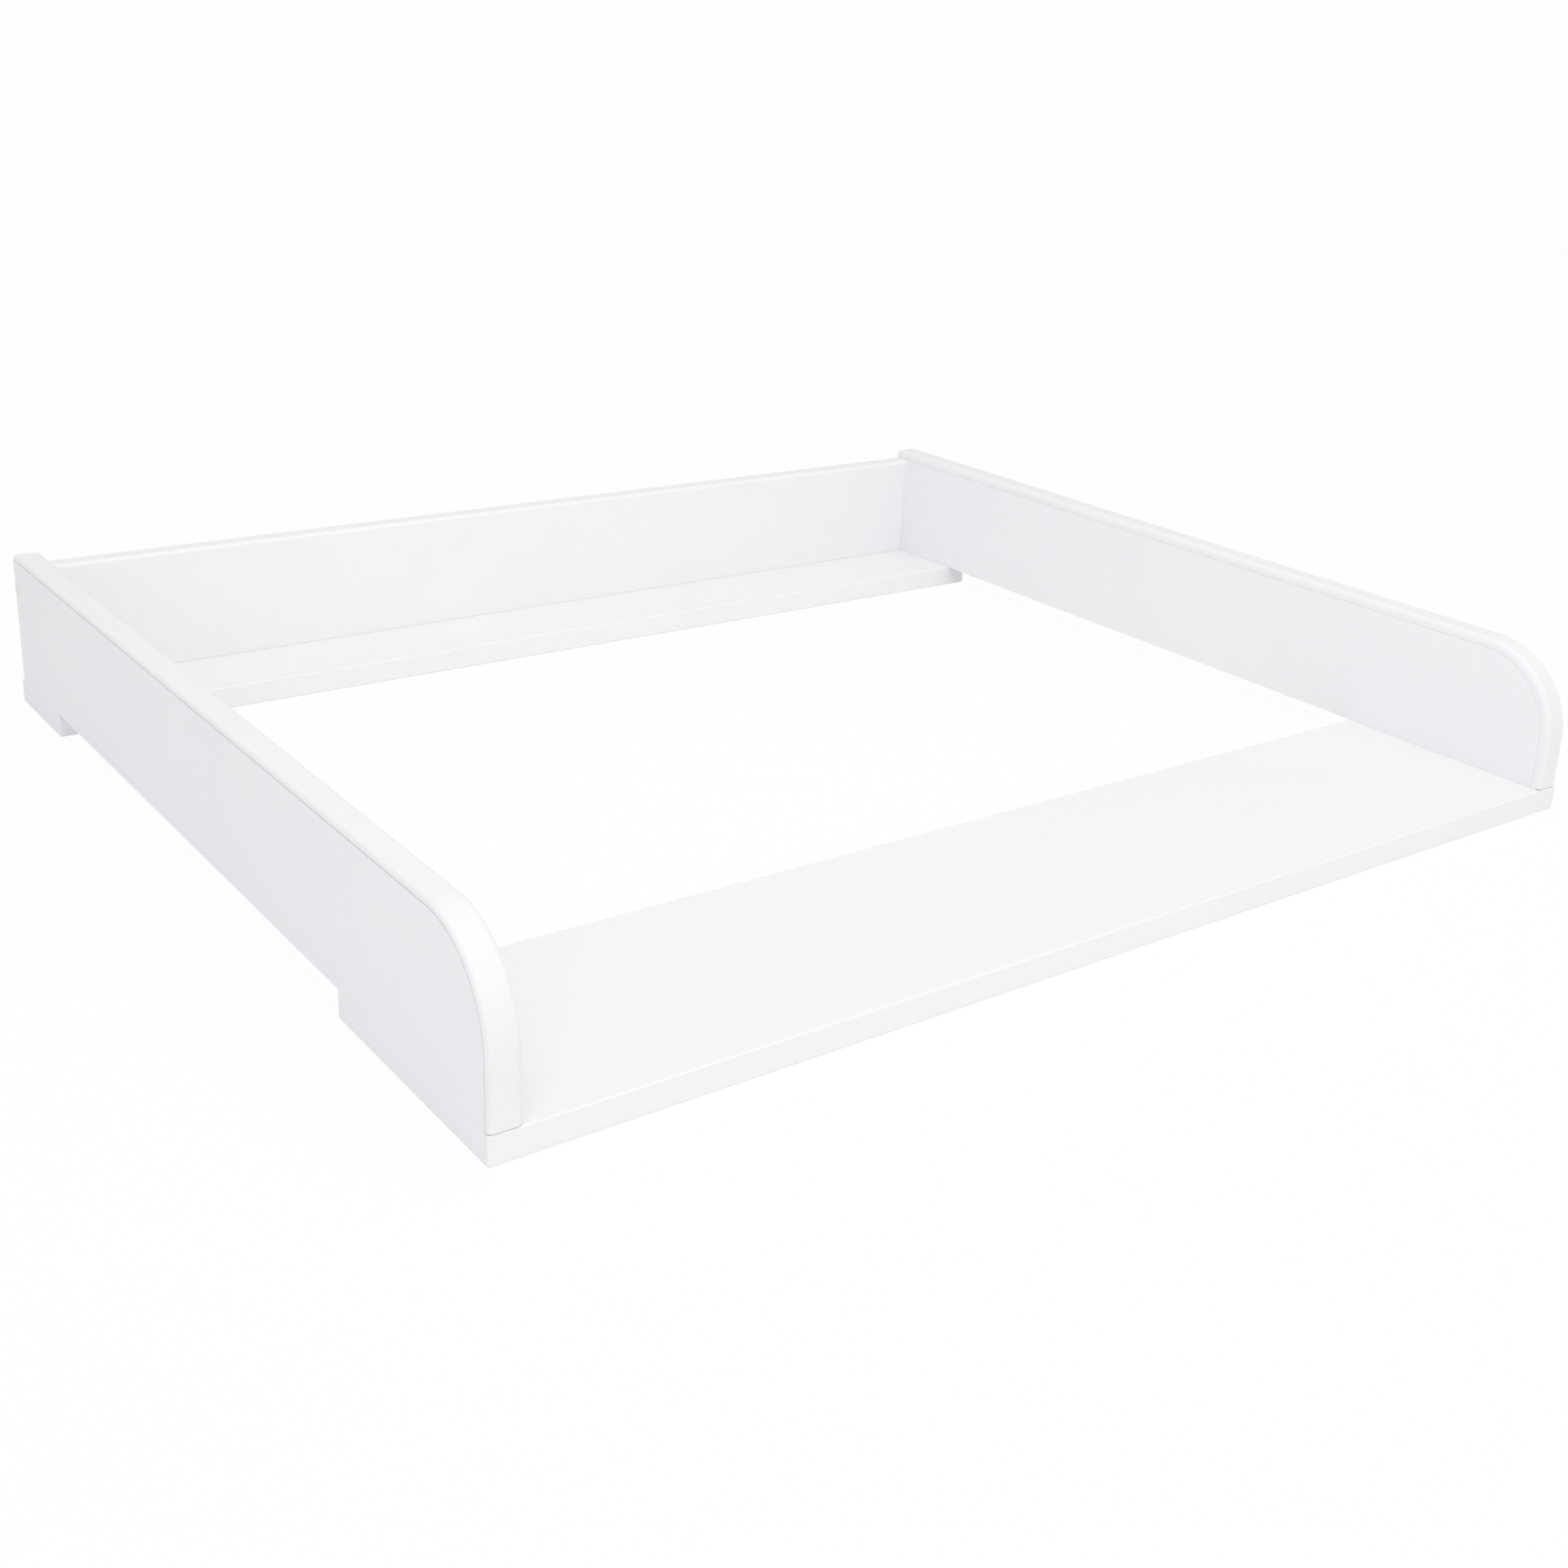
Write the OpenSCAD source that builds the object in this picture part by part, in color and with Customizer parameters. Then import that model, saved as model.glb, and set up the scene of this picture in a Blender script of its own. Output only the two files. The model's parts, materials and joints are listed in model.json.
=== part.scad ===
// Changing table top: an open frame of lacquered boards that stands on a chest of drawers.
// Origin at the middle of the footprint, on the underside. +X right, +Y to the back, +Z up.

/* [Overall] */
// Width over the two side boards
top_w = 800; // [700:1:1000]
// Depth from the front edge to the wall side
top_d = 700; // [550:1:850]

/* [Boards] */
// Thickness of the front base board and the rear base strip
base_t = 16; // [14:0.5:22]
// Depth of the front base board
front_base_d = 160; // [120:1:220]
// Depth of the rear base strip
rear_strip_d = 84; // [74:1:130]
// Thickness of each side board
side_t = 18; // [16:0.5:25]
// How far the side boards are set in from the base boards' ends
end_reveal = 0.6; // [0.3:0.1:1]
// Height of each side board above the base boards
side_h = 92; // [80:1:150]
// Thickness of the back board
back_t = 16; // [15:0.5:22]
// How far the back board's top lies below the side boards' tops
back_drop = 8; // [0:1:20]

/* [Edges] */
// Radius of the large front corner of each side board
corner_r = 58; // [30:1:70]
// Radius of the small rear top corner of each side board
rear_corner_r = 6; // [5:0.5:15]
// Radius of the rounding along the edge bands and the back board's top
edge_r = 3; // [1:0.25:4]
// Radius of the slight rounding along the other board edges
board_edge_r = 1; // [0.5:0.25:1.5]
// Thickness of the band on the front and top edge of each side board
band_t = 3.25; // [2:0.25:4]
// Gap between the foot of an edge band and the base board under it
band_gap = 0.6; // [0.2:0.1:1]

/* [Screws] */
// Length of a screw
screw_l = 50; // [45:1:60]
// Diameter of a screw's head
head_d = 9; // [8:0.5:10]
// Height of the straight rim of a screw's head
head_rim = 0.8; // [0.4:0.1:1.5]
// Diameter of a screw's plain shank
shank_d = 6.3; // [5:0.1:7]
// Diameter over a screw's thread
thread_d = 6; // [4.8:0.1:6.8]
// Diameter of a screw's core between the threads
core_d = 4.4; // [3.5:0.1:4.7]
// Distance between two turns of the thread
thread_pitch = 3; // [2:0.25:4]
// Length of a screw's point
point_l = 5; // [3:0.5:8]
// Width across flats of the hexagon socket in a screw's head
socket_af = 4; // [3:0.5:5]
// Depth of the hexagon socket
socket_depth = 3; // [2:0.5:4]
// How far a screw's head lies below the underside of its board
head_sink = 0.3; // [0.1:0.1:1]
// Distance from the front base board's long edges to its screws
front_screw_inset = 32; // [25:1:45]
// Distance from the rear strip's front edge to its side board screw
rear_screw_inset = 24; // [18:1:28]
// Distance between neighbouring screws from the strip into the back board
strip_screw_gap = 240; // [150:5:280]
// Number of screws from the strip into the back board
strip_screw_count = 3; // [2:1:3]
// Distance from the back board's top down to the screw in its end
back_screw_drop = 16; // [12:1:24]

/* [Screw caps] */
// Diameter of a screw cap
cap_d = 9.5; // [9.5:0.25:11]
// Thickness of a screw cap
cap_t = 1.5; // [1:0.25:3]
// How far a cap lies below the outer face
cap_sink = 0.1; // [0.05:0.05:0.4]
// Length of the plug that holds a cap in the screw's socket
plug_l = 2; // [1:0.25:2]

/* [Dowels] */
// Diameter of a dowel
dowel_d = 8; // [6:0.5:8]
// Length of a dowel
dowel_l = 30; // [25:1:40]
// Length of a dowel that sits in the board it stands on
dowel_seat = 10; // [8:0.5:11]
// Chamfer at each end of a dowel
dowel_chamfer = 0.8; // [0.4:0.1:1.5]
// Distance from the rear face to the dowel between strip and side board
rear_dowel_inset = 30; // [27:1:34]
// Distance from the back board's ends to the dowels under it
strip_dowel_inset = 42; // [36:1:60]
// Height above the base boards of the dowel in the back board's end
back_dowel_rise = 26; // [24:1:30]

/* [Clearances] */
// Gap around a screw or a dowel in its hole
hole_gap = 0.1; // [0.05:0.05:0.3]
// Gap past the end of a screw or a dowel
end_gap = 0.5; // [0.2:0.1:1.5]

/* [Hidden] */
$fn = 48;

// How far a cutter runs past the face that it opens
spill = 1;
// Colours of lacquered board, steel, plastic cap and beech
board_colour = "white";
steel_colour = "silver";
cap_colour = "whitesmoke";
dowel_colour = "burlywood";

front_y = -top_d / 2;
rear_y = top_d / 2;
strip_y = rear_y - rear_strip_d;
// Over the side boards' outer faces, and between their inner ones
outer_w = top_w - 2 * end_reveal;
inner_w = outer_w - 2 * side_t;
back_h = side_h - back_drop;
back_y = rear_y - back_t;
// Middle planes of the left side board and of the back board
side_mid_x = -outer_w / 2 + side_t / 2;
back_mid_y = rear_y - back_t / 2;

front_screw_ys = [front_y + front_screw_inset, front_y + front_base_d - front_screw_inset];
front_dowel_y = front_y + front_base_d / 2;
rear_screw_y = strip_y + rear_screw_inset;
rear_dowel_y = rear_y - rear_dowel_inset;
strip_screw_xs = [
    for (i = [0 : strip_screw_count - 1]) (i - (strip_screw_count - 1) / 2) * strip_screw_gap
];
strip_dowel_xs = [for (s = [-1, 1]) s * (inner_w / 2 - strip_dowel_inset)];
back_screw_z = base_t + back_h - back_screw_drop;
back_dowel_z = base_t + back_dowel_rise;

head_cone = (head_d - shank_d) / 2;
// The plain shank ends at the far side of the board that it passes through
shank_end = base_t - head_sink;
thread_count = floor((screw_l - point_l - shank_end) / thread_pitch);

// ---- Edge cutters -------------------------------------------------------

// What is removed along one edge. The corner lies at the origin, with the board in -X and -Y.
module edge_profile(r) {
    difference() {
        translate([-r, -r]) square(r + spill);
        translate([-r, -r]) circle(r);
    }
}

// Mirrors a profile to the side that each sign names
module facing(sx, sy) {
    mirror([sx < 0 ? 1 : 0, 0]) mirror([0, sy < 0 ? 1 : 0]) children();
}

module cut_along_x(length, r, sy, sz) {
    translate([-length / 2, 0, 0]) rotate([90, 0, 90])
        linear_extrude(length) facing(sy, sz) edge_profile(r);
}

module cut_along_y(length, r, sx, sz) {
    translate([0, length, 0]) rotate([90, 0, 0])
        linear_extrude(length) facing(sx, sz) edge_profile(r);
}

module cut_along_z(length, r, sx, sy) {
    linear_extrude(length) facing(sx, sy) edge_profile(r);
}

// ---- Fasteners ----------------------------------------------------------

// A screw with its head's face at z = 0, pointing up
module screw() {
    difference() {
        rotate_extrude() polygon(concat(
            [
                [0, 0], [head_d / 2, 0], [head_d / 2, head_rim],
                [shank_d / 2, head_rim + head_cone], [shank_d / 2, shank_end], [core_d / 2, shank_end]
            ],
            [
                for (i = [0 : thread_count - 1]) for (k = [0.25, 0.5, 0.75])
                    [(k == 0.5 ? thread_d : core_d) / 2, shank_end + (i + k) * thread_pitch]
            ],
            [[core_d / 2, screw_l - point_l], [0, screw_l]]
        ));
        translate([0, 0, -spill])
            cylinder(d = socket_af / cos(30), h = socket_depth + spill, $fn = 6);
    }
}

// The hole for a screw whose head's face lies sink below the face at z = 0
module screw_hole(sink) {
    translate([0, 0, -spill])
        cylinder(d = head_d + 2 * hole_gap, h = spill + sink + head_rim);
    translate([0, 0, sink + head_rim])
        cylinder(d1 = head_d + 2 * hole_gap, d2 = shank_d + 2 * hole_gap, h = head_cone);
    cylinder(d = shank_d + 2 * hole_gap, h = sink + shank_end);
    cylinder(d = thread_d + 2 * hole_gap, h = sink + screw_l + end_gap);
}

// A dowel whose seat lies below z = 0, pointing up
module dowel() {
    tip_d = dowel_d - 2 * dowel_chamfer;
    straight_l = dowel_l - 2 * dowel_chamfer;
    translate([0, 0, -dowel_seat]) {
        cylinder(d1 = tip_d, d2 = dowel_d, h = dowel_chamfer);
        translate([0, 0, dowel_chamfer]) cylinder(d = dowel_d, h = straight_l);
        translate([0, 0, dowel_chamfer + straight_l]) cylinder(d1 = dowel_d, d2 = tip_d, h = dowel_chamfer);
    }
}

// The blind holes for a dowel, in both boards
module dowel_hole() {
    translate([0, 0, -dowel_seat - end_gap])
        cylinder(d = dowel_d + 2 * hole_gap, h = dowel_l + 2 * end_gap);
}

// ---- Where the fasteners of the left side sit; the right side mirrors them ----

module at_front_screws() {
    for (y = front_screw_ys) translate([side_mid_x, y, 0]) children();
}

module at_front_dowel() {
    translate([side_mid_x, front_dowel_y, base_t]) children();
}

module at_rear_screw() {
    translate([side_mid_x, rear_screw_y, 0]) children();
}

module at_rear_dowel() {
    translate([side_mid_x, rear_dowel_y, base_t]) children();
}

// On the left side board's outer face, pointing right
module at_back_screw() {
    translate([-outer_w / 2, back_mid_y, back_screw_z]) rotate([0, 90, 0]) children();
}

// On the left side board's inner face, pointing right
module at_back_dowel() {
    translate([-inner_w / 2, back_mid_y, back_dowel_z]) rotate([0, 90, 0]) children();
}

module at_strip_screws() {
    for (x = strip_screw_xs) translate([x, back_mid_y, 0]) children();
}

module at_strip_dowels() {
    for (x = strip_dowel_xs) translate([x, back_mid_y, base_t]) children();
}

module both_sides() {
    children();
    mirror([1, 0, 0]) children();
}

// ---- Boards -------------------------------------------------------------

// A board lying flat with its front edge at y = 0. Its ends stay crisp on top, beside the side boards.
module flat_board(depth) {
    difference() {
        translate([-top_w / 2, 0, 0]) cube([top_w, depth, base_t]);
        for (y = [0, depth]) {
            sy = y == 0 ? -1 : 1;
            for (z = [0, base_t])
                translate([0, y, z]) cut_along_x(top_w + 2 * spill, board_edge_r, sy, z == 0 ? -1 : 1);
            for (sx = [-1, 1])
                translate([sx * top_w / 2, y, -spill])
                    cut_along_z(base_t + 2 * spill, board_edge_r, sx, sy);
        }
        for (sx = [-1, 1])
            translate([sx * top_w / 2, -spill, 0]) cut_along_y(depth + 2 * spill, board_edge_r, sx, -1);
    }
}

module front_base_board() {
    color(board_colour) difference() {
        translate([0, front_y, 0]) flat_board(front_base_d);
        both_sides() {
            at_front_screws() screw_hole(head_sink);
            at_front_dowel() dowel_hole();
        }
    }
}

module rear_base_strip() {
    color(board_colour) difference() {
        translate([0, strip_y, 0]) flat_board(rear_strip_d);
        both_sides() {
            at_rear_screw() screw_hole(head_sink);
            at_rear_dowel() dowel_hole();
        }
        at_strip_screws() screw_hole(head_sink);
        at_strip_dowels() dowel_hole();
    }
}

// What is removed outside the large front corner, whose centre stays where it is for any radius
module front_corner_cut(r) {
    translate([corner_r, side_h - corner_r]) difference() {
        rotate(90) square(r + spill);
        circle(r, $fn = 96);
    }
}

// A side board and its edge band in outline, front at x = 0 and foot at y = 0
module side_outline() {
    difference() {
        square([top_d, side_h]);
        front_corner_cut(corner_r);
        translate([top_d - rear_corner_r, side_h - rear_corner_r]) difference() {
            square(rear_corner_r + spill);
            circle(rear_corner_r);
        }
    }
}

// All that lies behind and under the edge band
module inside_band() {
    difference() {
        translate([band_t, -spill]) square([top_d + spill, side_h - band_t + spill]);
        front_corner_cut(corner_r - band_t);
    }
}

// What rounds one straight edge, outward in +X, from y = 0 towards -Y
module straight_rounding(length) {
    rotate([90, 0, 0]) linear_extrude(length) edge_profile(edge_r);
}

// The same around a quarter of a corner, from +X to +Y
module corner_rounding(r) {
    rotate_extrude(angle = 90, $fn = 96) translate([r, 0]) edge_profile(edge_r);
}

// What is removed along the front, top and rear of one face, which lies at z = 0
module side_face_cut() {
    front_l = side_h - corner_r;
    rear_l = side_h - rear_corner_r;
    translate([0, front_l, 0]) mirror([1, 0, 0]) straight_rounding(front_l + spill);
    translate([corner_r, front_l, 0]) rotate(90) corner_rounding(corner_r);
    translate([corner_r, side_h, 0]) rotate(90) straight_rounding(top_d - corner_r - rear_corner_r);
    translate([top_d - rear_corner_r, rear_l, 0]) corner_rounding(rear_corner_r);
    translate([top_d, rear_l, 0]) straight_rounding(rear_l + spill);
}

// Gives an outline the side board's thickness, place and rounded edges
module side_slab() {
    translate([-outer_w / 2, front_y, base_t]) rotate([90, 0, 90]) difference() {
        linear_extrude(side_t) children();
        translate([0, 0, side_t]) side_face_cut();
        mirror([0, 0, 1]) side_face_cut();
    }
}

module side_board() {
    color(board_colour) difference() {
        side_slab() intersection() {
            side_outline();
            inside_band();
        }
        at_front_screws() screw_hole(head_sink);
        at_front_dowel() dowel_hole();
        at_rear_screw() screw_hole(head_sink);
        at_rear_dowel() dowel_hole();
        at_back_screw() screw_hole(cap_sink + cap_t);
        at_back_screw() translate([0, 0, -spill])
            cylinder(d = cap_d + 2 * hole_gap, h = spill + cap_sink + cap_t);
        at_back_dowel() dowel_hole();
    }
}

module left_side_board() {
    side_board();
}

module right_side_board() {
    mirror([1, 0, 0]) side_board();
}

module left_edge_band() {
    color(board_colour) side_slab() difference() {
        side_outline();
        inside_band();
        translate([-spill, -spill]) square([band_t + 2 * spill, band_gap + spill]);
    }
}

module right_edge_band() {
    mirror([1, 0, 0]) left_edge_band();
}

module back_board() {
    color(board_colour) difference() {
        translate([-inner_w / 2, back_y, base_t]) cube([inner_w, back_t, back_h]);
        for (sy = [-1, 1]) translate([0, back_mid_y + sy * back_t / 2, base_t]) {
            translate([0, 0, back_h]) cut_along_x(inner_w + 2 * spill, edge_r, sy, 1);
            for (sx = [-1, 1]) translate([sx * inner_w / 2, 0, -spill])
                cut_along_z(back_h + 2 * spill, board_edge_r, sx, sy);
        }
        at_strip_screws() screw_hole(head_sink);
        at_strip_dowels() dowel_hole();
        both_sides() {
            at_back_screw() screw_hole(cap_sink + cap_t);
            at_back_dowel() dowel_hole();
        }
    }
}

// ---- Fastener nodes -----------------------------------------------------

module front_left_screws() {
    color(steel_colour) at_front_screws() translate([0, 0, head_sink]) screw();
}

module front_right_screws() {
    mirror([1, 0, 0]) front_left_screws();
}

module rear_left_screw() {
    color(steel_colour) at_rear_screw() translate([0, 0, head_sink]) screw();
}

module rear_right_screw() {
    mirror([1, 0, 0]) rear_left_screw();
}

module strip_to_back_screws() {
    color(steel_colour) at_strip_screws() translate([0, 0, head_sink]) screw();
}

module left_back_screw() {
    color(steel_colour) at_back_screw() translate([0, 0, cap_sink + cap_t]) screw();
}

module right_back_screw() {
    mirror([1, 0, 0]) left_back_screw();
}

module left_screw_cap() {
    color(cap_colour) at_back_screw() translate([0, 0, cap_sink]) {
        cylinder(d = cap_d, h = cap_t);
        translate([0, 0, cap_t]) cylinder(d = socket_af - 2 * hole_gap, h = plug_l);
    }
}

module right_screw_cap() {
    mirror([1, 0, 0]) left_screw_cap();
}

module front_left_dowel() {
    color(dowel_colour) at_front_dowel() dowel();
}

module front_right_dowel() {
    mirror([1, 0, 0]) front_left_dowel();
}

module rear_left_dowel() {
    color(dowel_colour) at_rear_dowel() dowel();
}

module rear_right_dowel() {
    mirror([1, 0, 0]) rear_left_dowel();
}

module strip_to_back_dowels() {
    color(dowel_colour) at_strip_dowels() dowel();
}

module left_back_dowel() {
    color(dowel_colour) at_back_dowel() dowel();
}

module right_back_dowel() {
    mirror([1, 0, 0]) left_back_dowel();
}

front_base_board();
rear_base_strip();
left_side_board();
right_side_board();
back_board();
left_edge_band();
right_edge_band();
front_left_screws();
front_right_screws();
rear_left_screw();
rear_right_screw();
strip_to_back_screws();
left_back_screw();
right_back_screw();
left_screw_cap();
right_screw_cap();
front_left_dowel();
front_right_dowel();
rear_left_dowel();
rear_right_dowel();
strip_to_back_dowels();
left_back_dowel();
right_back_dowel();
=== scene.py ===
"""Changing table top: lacquered boards, their fittings and a plain studio around them."""

import json
import logging
import math
from dataclasses import dataclass, field
from enum import Enum
from typing import Callable

import bmesh
import bpy
from mathutils import Matrix, Vector

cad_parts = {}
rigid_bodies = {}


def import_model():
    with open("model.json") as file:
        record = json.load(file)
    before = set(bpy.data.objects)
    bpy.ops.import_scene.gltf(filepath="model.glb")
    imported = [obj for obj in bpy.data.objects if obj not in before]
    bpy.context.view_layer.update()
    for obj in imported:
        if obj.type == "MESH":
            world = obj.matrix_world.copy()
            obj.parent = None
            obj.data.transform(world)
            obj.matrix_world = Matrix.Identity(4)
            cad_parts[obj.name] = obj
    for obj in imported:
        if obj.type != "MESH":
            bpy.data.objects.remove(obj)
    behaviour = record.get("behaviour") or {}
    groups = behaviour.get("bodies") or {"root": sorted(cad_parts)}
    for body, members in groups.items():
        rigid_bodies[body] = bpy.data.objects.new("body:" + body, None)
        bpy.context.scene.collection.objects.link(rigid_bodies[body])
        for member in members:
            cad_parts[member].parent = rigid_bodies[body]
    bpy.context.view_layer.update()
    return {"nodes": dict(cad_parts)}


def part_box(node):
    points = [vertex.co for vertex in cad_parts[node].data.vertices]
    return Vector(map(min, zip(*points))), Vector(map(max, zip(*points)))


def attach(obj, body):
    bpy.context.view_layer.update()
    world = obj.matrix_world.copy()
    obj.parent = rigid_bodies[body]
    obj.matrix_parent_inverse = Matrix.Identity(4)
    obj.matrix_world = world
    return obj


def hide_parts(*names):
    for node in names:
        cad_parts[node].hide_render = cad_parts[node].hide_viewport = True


LOG = logging.getLogger("changing_table_top")
BODY = "root"
MM = 0.001
UP = Vector((0, 0, 1))
# Two coordinates closer than this are the same place
TOUCH = 0.01 * MM
# Faces that meet at less than this angle, in degrees, are shaded as one rounding
SMOOTH_ANGLE = 32


class Side(Enum):
    """The side of the part that a piece belongs to, with its sign along X."""

    LEFT = -1
    RIGHT = 1

    @property
    def word(self) -> str:
        """The side's name as it stands in the node names."""
        return self.name.lower()


# ---- Small tools -----------------------------------------------------------


def srgb(code: str) -> tuple[float, float, float, float]:
    """Turn an sRGB hex colour into linear values.

    Args:
        code: Six hex digits, with or without a leading hash.

    Returns:
        Linear red, green and blue, and an alpha of 1.
    """
    digits = code.lstrip("#")
    channels = [int(digits[i : i + 2], 16) / 255 for i in (0, 2, 4)]
    linear = [c / 12.92 if c <= 0.04045 else ((c + 0.055) / 1.055) ** 2.4 for c in channels]
    return linear[0], linear[1], linear[2], 1.0


def add_node(
    tree: bpy.types.NodeTree,
    kind: str,
    settings: dict[str, object] | None = None,
    inputs: dict[str | int, object] | None = None,
) -> bpy.types.Node:
    """Add one node with its settings and links.

    Args:
        tree: The node tree that the node joins.
        kind: The node's type name.
        settings: Values for the node's own properties.
        inputs: A value, or a socket to link from, for each input.

    Returns:
        The new node.
    """
    node = tree.nodes.new(kind)
    for name, value in (settings or {}).items():
        setattr(node, name, value)
    for key, value in (inputs or {}).items():
        if isinstance(value, bpy.types.NodeSocket):
            tree.links.new(value, node.inputs[key])
        else:
            node.inputs[key].default_value = value
    return node


def new_material(name: str) -> tuple[bpy.types.Material, bpy.types.NodeTree]:
    """Make an empty node material.

    Args:
        name: The material's name.

    Returns:
        The material and its emptied node tree.
    """
    material = bpy.data.materials.new(name)
    material.use_nodes = True
    material.node_tree.nodes.clear()
    return material, material.node_tree


def deselect_all() -> None:
    """Leave nothing selected, since operators act on all that is."""
    for thing in bpy.context.view_layer.objects:
        thing.select_set(False)


def add_block(name: str, low: Vector, high: Vector) -> bpy.types.Object:
    """Add a cube primitive that spans two corners.

    Args:
        name: The object's name.
        low: The lowest corner, in metres.
        high: The highest corner, in metres.

    Returns:
        The block, at the origin with its place in its mesh.
    """
    deselect_all()
    bpy.ops.mesh.primitive_cube_add(size=1, location=(low + high) / 2)
    block = bpy.context.active_object
    block.name = name
    block.data.name = name
    block.scale = high - low
    bpy.ops.object.transform_apply(location=True, rotation=True, scale=True)
    return block


def edit(piece: bpy.types.Object, element: str = "FACE") -> bmesh.types.BMesh:
    """Enter edit mode on one piece with nothing selected.

    Args:
        piece: The object to edit.
        element: VERT, EDGE or FACE.

    Returns:
        The piece's edit mesh.
    """
    deselect_all()
    bpy.context.view_layer.objects.active = piece
    piece.select_set(True)
    bpy.ops.object.mode_set(mode="EDIT")
    bpy.ops.mesh.select_mode(type=element)
    bpy.ops.mesh.select_all(action="DESELECT")
    return bmesh.from_edit_mesh(piece.data)


def leave_edit() -> None:
    """Go back to object mode."""
    bpy.ops.object.mode_set(mode="OBJECT")


def select_edges(piece: bpy.types.Object, wanted: Callable[[bmesh.types.BMEdge], bool]) -> bool:
    """Enter edit mode and select the edges that a test accepts.

    Args:
        piece: The object to edit.
        wanted: Tells whether an edge is selected.

    Returns:
        Whether any edge was selected.
    """
    mesh = edit(piece, "EDGE")
    picked = [edge for edge in mesh.edges if wanted(edge)]
    for edge in picked:
        edge.select_set(True)
    bmesh.update_edit_mesh(piece.data)
    return bool(picked)


def select_faces(piece: bpy.types.Object, wanted: Callable[[bmesh.types.BMFace], bool]) -> None:
    """Enter edit mode and select the faces that a test accepts.

    Args:
        piece: The object to edit.
        wanted: Tells whether a face is selected.
    """
    mesh = edit(piece, "FACE")
    for face in [face for face in mesh.faces if wanted(face)]:
        face.select_set(True)
    bmesh.update_edit_mesh(piece.data)


def extrude(move: Vector) -> None:
    """Extrude the selection.

    Args:
        move: How far and which way, in metres.
    """
    bpy.ops.mesh.extrude_region_move(TRANSFORM_OT_translate={"value": tuple(move)})


def bevel_edges(
    piece: bpy.types.Object,
    wanted: Callable[[bmesh.types.BMEdge], bool],
    radius: float,
    segments: int,
) -> None:
    """Round the edges that a test accepts.

    Args:
        piece: The object to edit.
        wanted: Tells whether an edge is rounded.
        radius: The rounding's radius, in metres.
        segments: How many faces make up the rounding.
    """
    if select_edges(piece, wanted):
        bpy.ops.mesh.bevel(offset=radius, offset_type="OFFSET", segments=segments, profile=0.5)
    leave_edit()


def cut_off(piece: bpy.types.Object, point: Vector, normal: Vector) -> None:
    """Cut away what lies on the normal's side of a plane, and close the cut.

    Args:
        piece: The object to cut.
        point: A point on the plane.
        normal: The plane's normal, towards what is removed.
    """
    edit(piece)
    bpy.ops.mesh.select_all(action="SELECT")
    bpy.ops.mesh.bisect(plane_co=point, plane_no=normal, clear_outer=True, use_fill=True)
    leave_edit()


def apply_modifier(piece: bpy.types.Object, kind: str, **settings: object) -> None:
    """Add a modifier and apply it.

    Args:
        piece: The object to change.
        kind: The modifier's type.
        **settings: Values for the modifier's properties.
    """
    deselect_all()
    bpy.context.view_layer.objects.active = piece
    piece.select_set(True)
    modifier = piece.modifiers.new(kind.title(), kind)
    for name, value in settings.items():
        setattr(modifier, name, value)
    bpy.ops.object.modifier_apply(modifier=modifier.name)


def finish_mesh(piece: bpy.types.Object) -> None:
    """Shade a hard-surface piece smooth over its roundings and flat on its faces.

    Args:
        piece: The finished object.
    """
    edit(piece)
    bpy.ops.mesh.select_all(action="SELECT")
    bpy.ops.mesh.remove_doubles(threshold=TOUCH)
    bpy.ops.mesh.normals_make_consistent(inside=False)
    leave_edit()
    bpy.ops.object.shade_smooth_by_angle(angle=math.radians(SMOOTH_ANGLE))
    apply_modifier(piece, "WEIGHTED_NORMAL", mode="FACE_AREA", weight=80, keep_sharp=True)


# ---- Finishes --------------------------------------------------------------


@dataclass(frozen=True)
class Finish:
    """A node material whose pattern is measured in millimetres on the piece itself.

    Attributes:
        name: The material's name.
    """

    name: str = ""

    def build(self) -> bpy.types.Material:
        """Make the material.

        Returns:
            The node material.
        """
        material, tree = new_material(self.name)
        shader = add_node(tree, "ShaderNodeBsdfPrincipled", inputs=self.surface(tree))
        add_node(tree, "ShaderNodeOutputMaterial", inputs={"Surface": shader.outputs[0]})
        return material

    def surface(self, tree: bpy.types.NodeTree) -> dict[str | int, object]:
        """Add the nodes that make up the finish.

        Args:
            tree: The material's node tree.

        Returns:
            What goes into each input of the shader.
        """
        raise NotImplementedError


def noise(tree: bpy.types.NodeTree, size_mm: float, detail: float) -> bpy.types.NodeSocket:
    """Add noise of a given real size.

    Args:
        tree: The material's node tree.
        size_mm: How wide its patches are, in millimetres.
        detail: How many finer layers it has.

    Returns:
        The noise's value.
    """
    place = add_node(tree, "ShaderNodeTexCoord").outputs["Object"]
    inputs = {"Vector": place, "Scale": 1 / (size_mm * MM), "Detail": detail}
    return add_node(tree, "ShaderNodeTexNoise", inputs=inputs).outputs["Fac"]


def spread(
    tree: bpy.types.NodeTree, value: bpy.types.NodeSocket, low: float, high: float
) -> bpy.types.NodeSocket:
    """Stretch a value from 0 to 1 over a range.

    Args:
        tree: The material's node tree.
        value: The value to stretch.
        low: What 0 becomes.
        high: What 1 becomes.

    Returns:
        The stretched value.
    """
    inputs = {"Value": value, "To Min": low, "To Max": high}
    return add_node(tree, "ShaderNodeMapRange", inputs=inputs).outputs["Result"]


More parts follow.
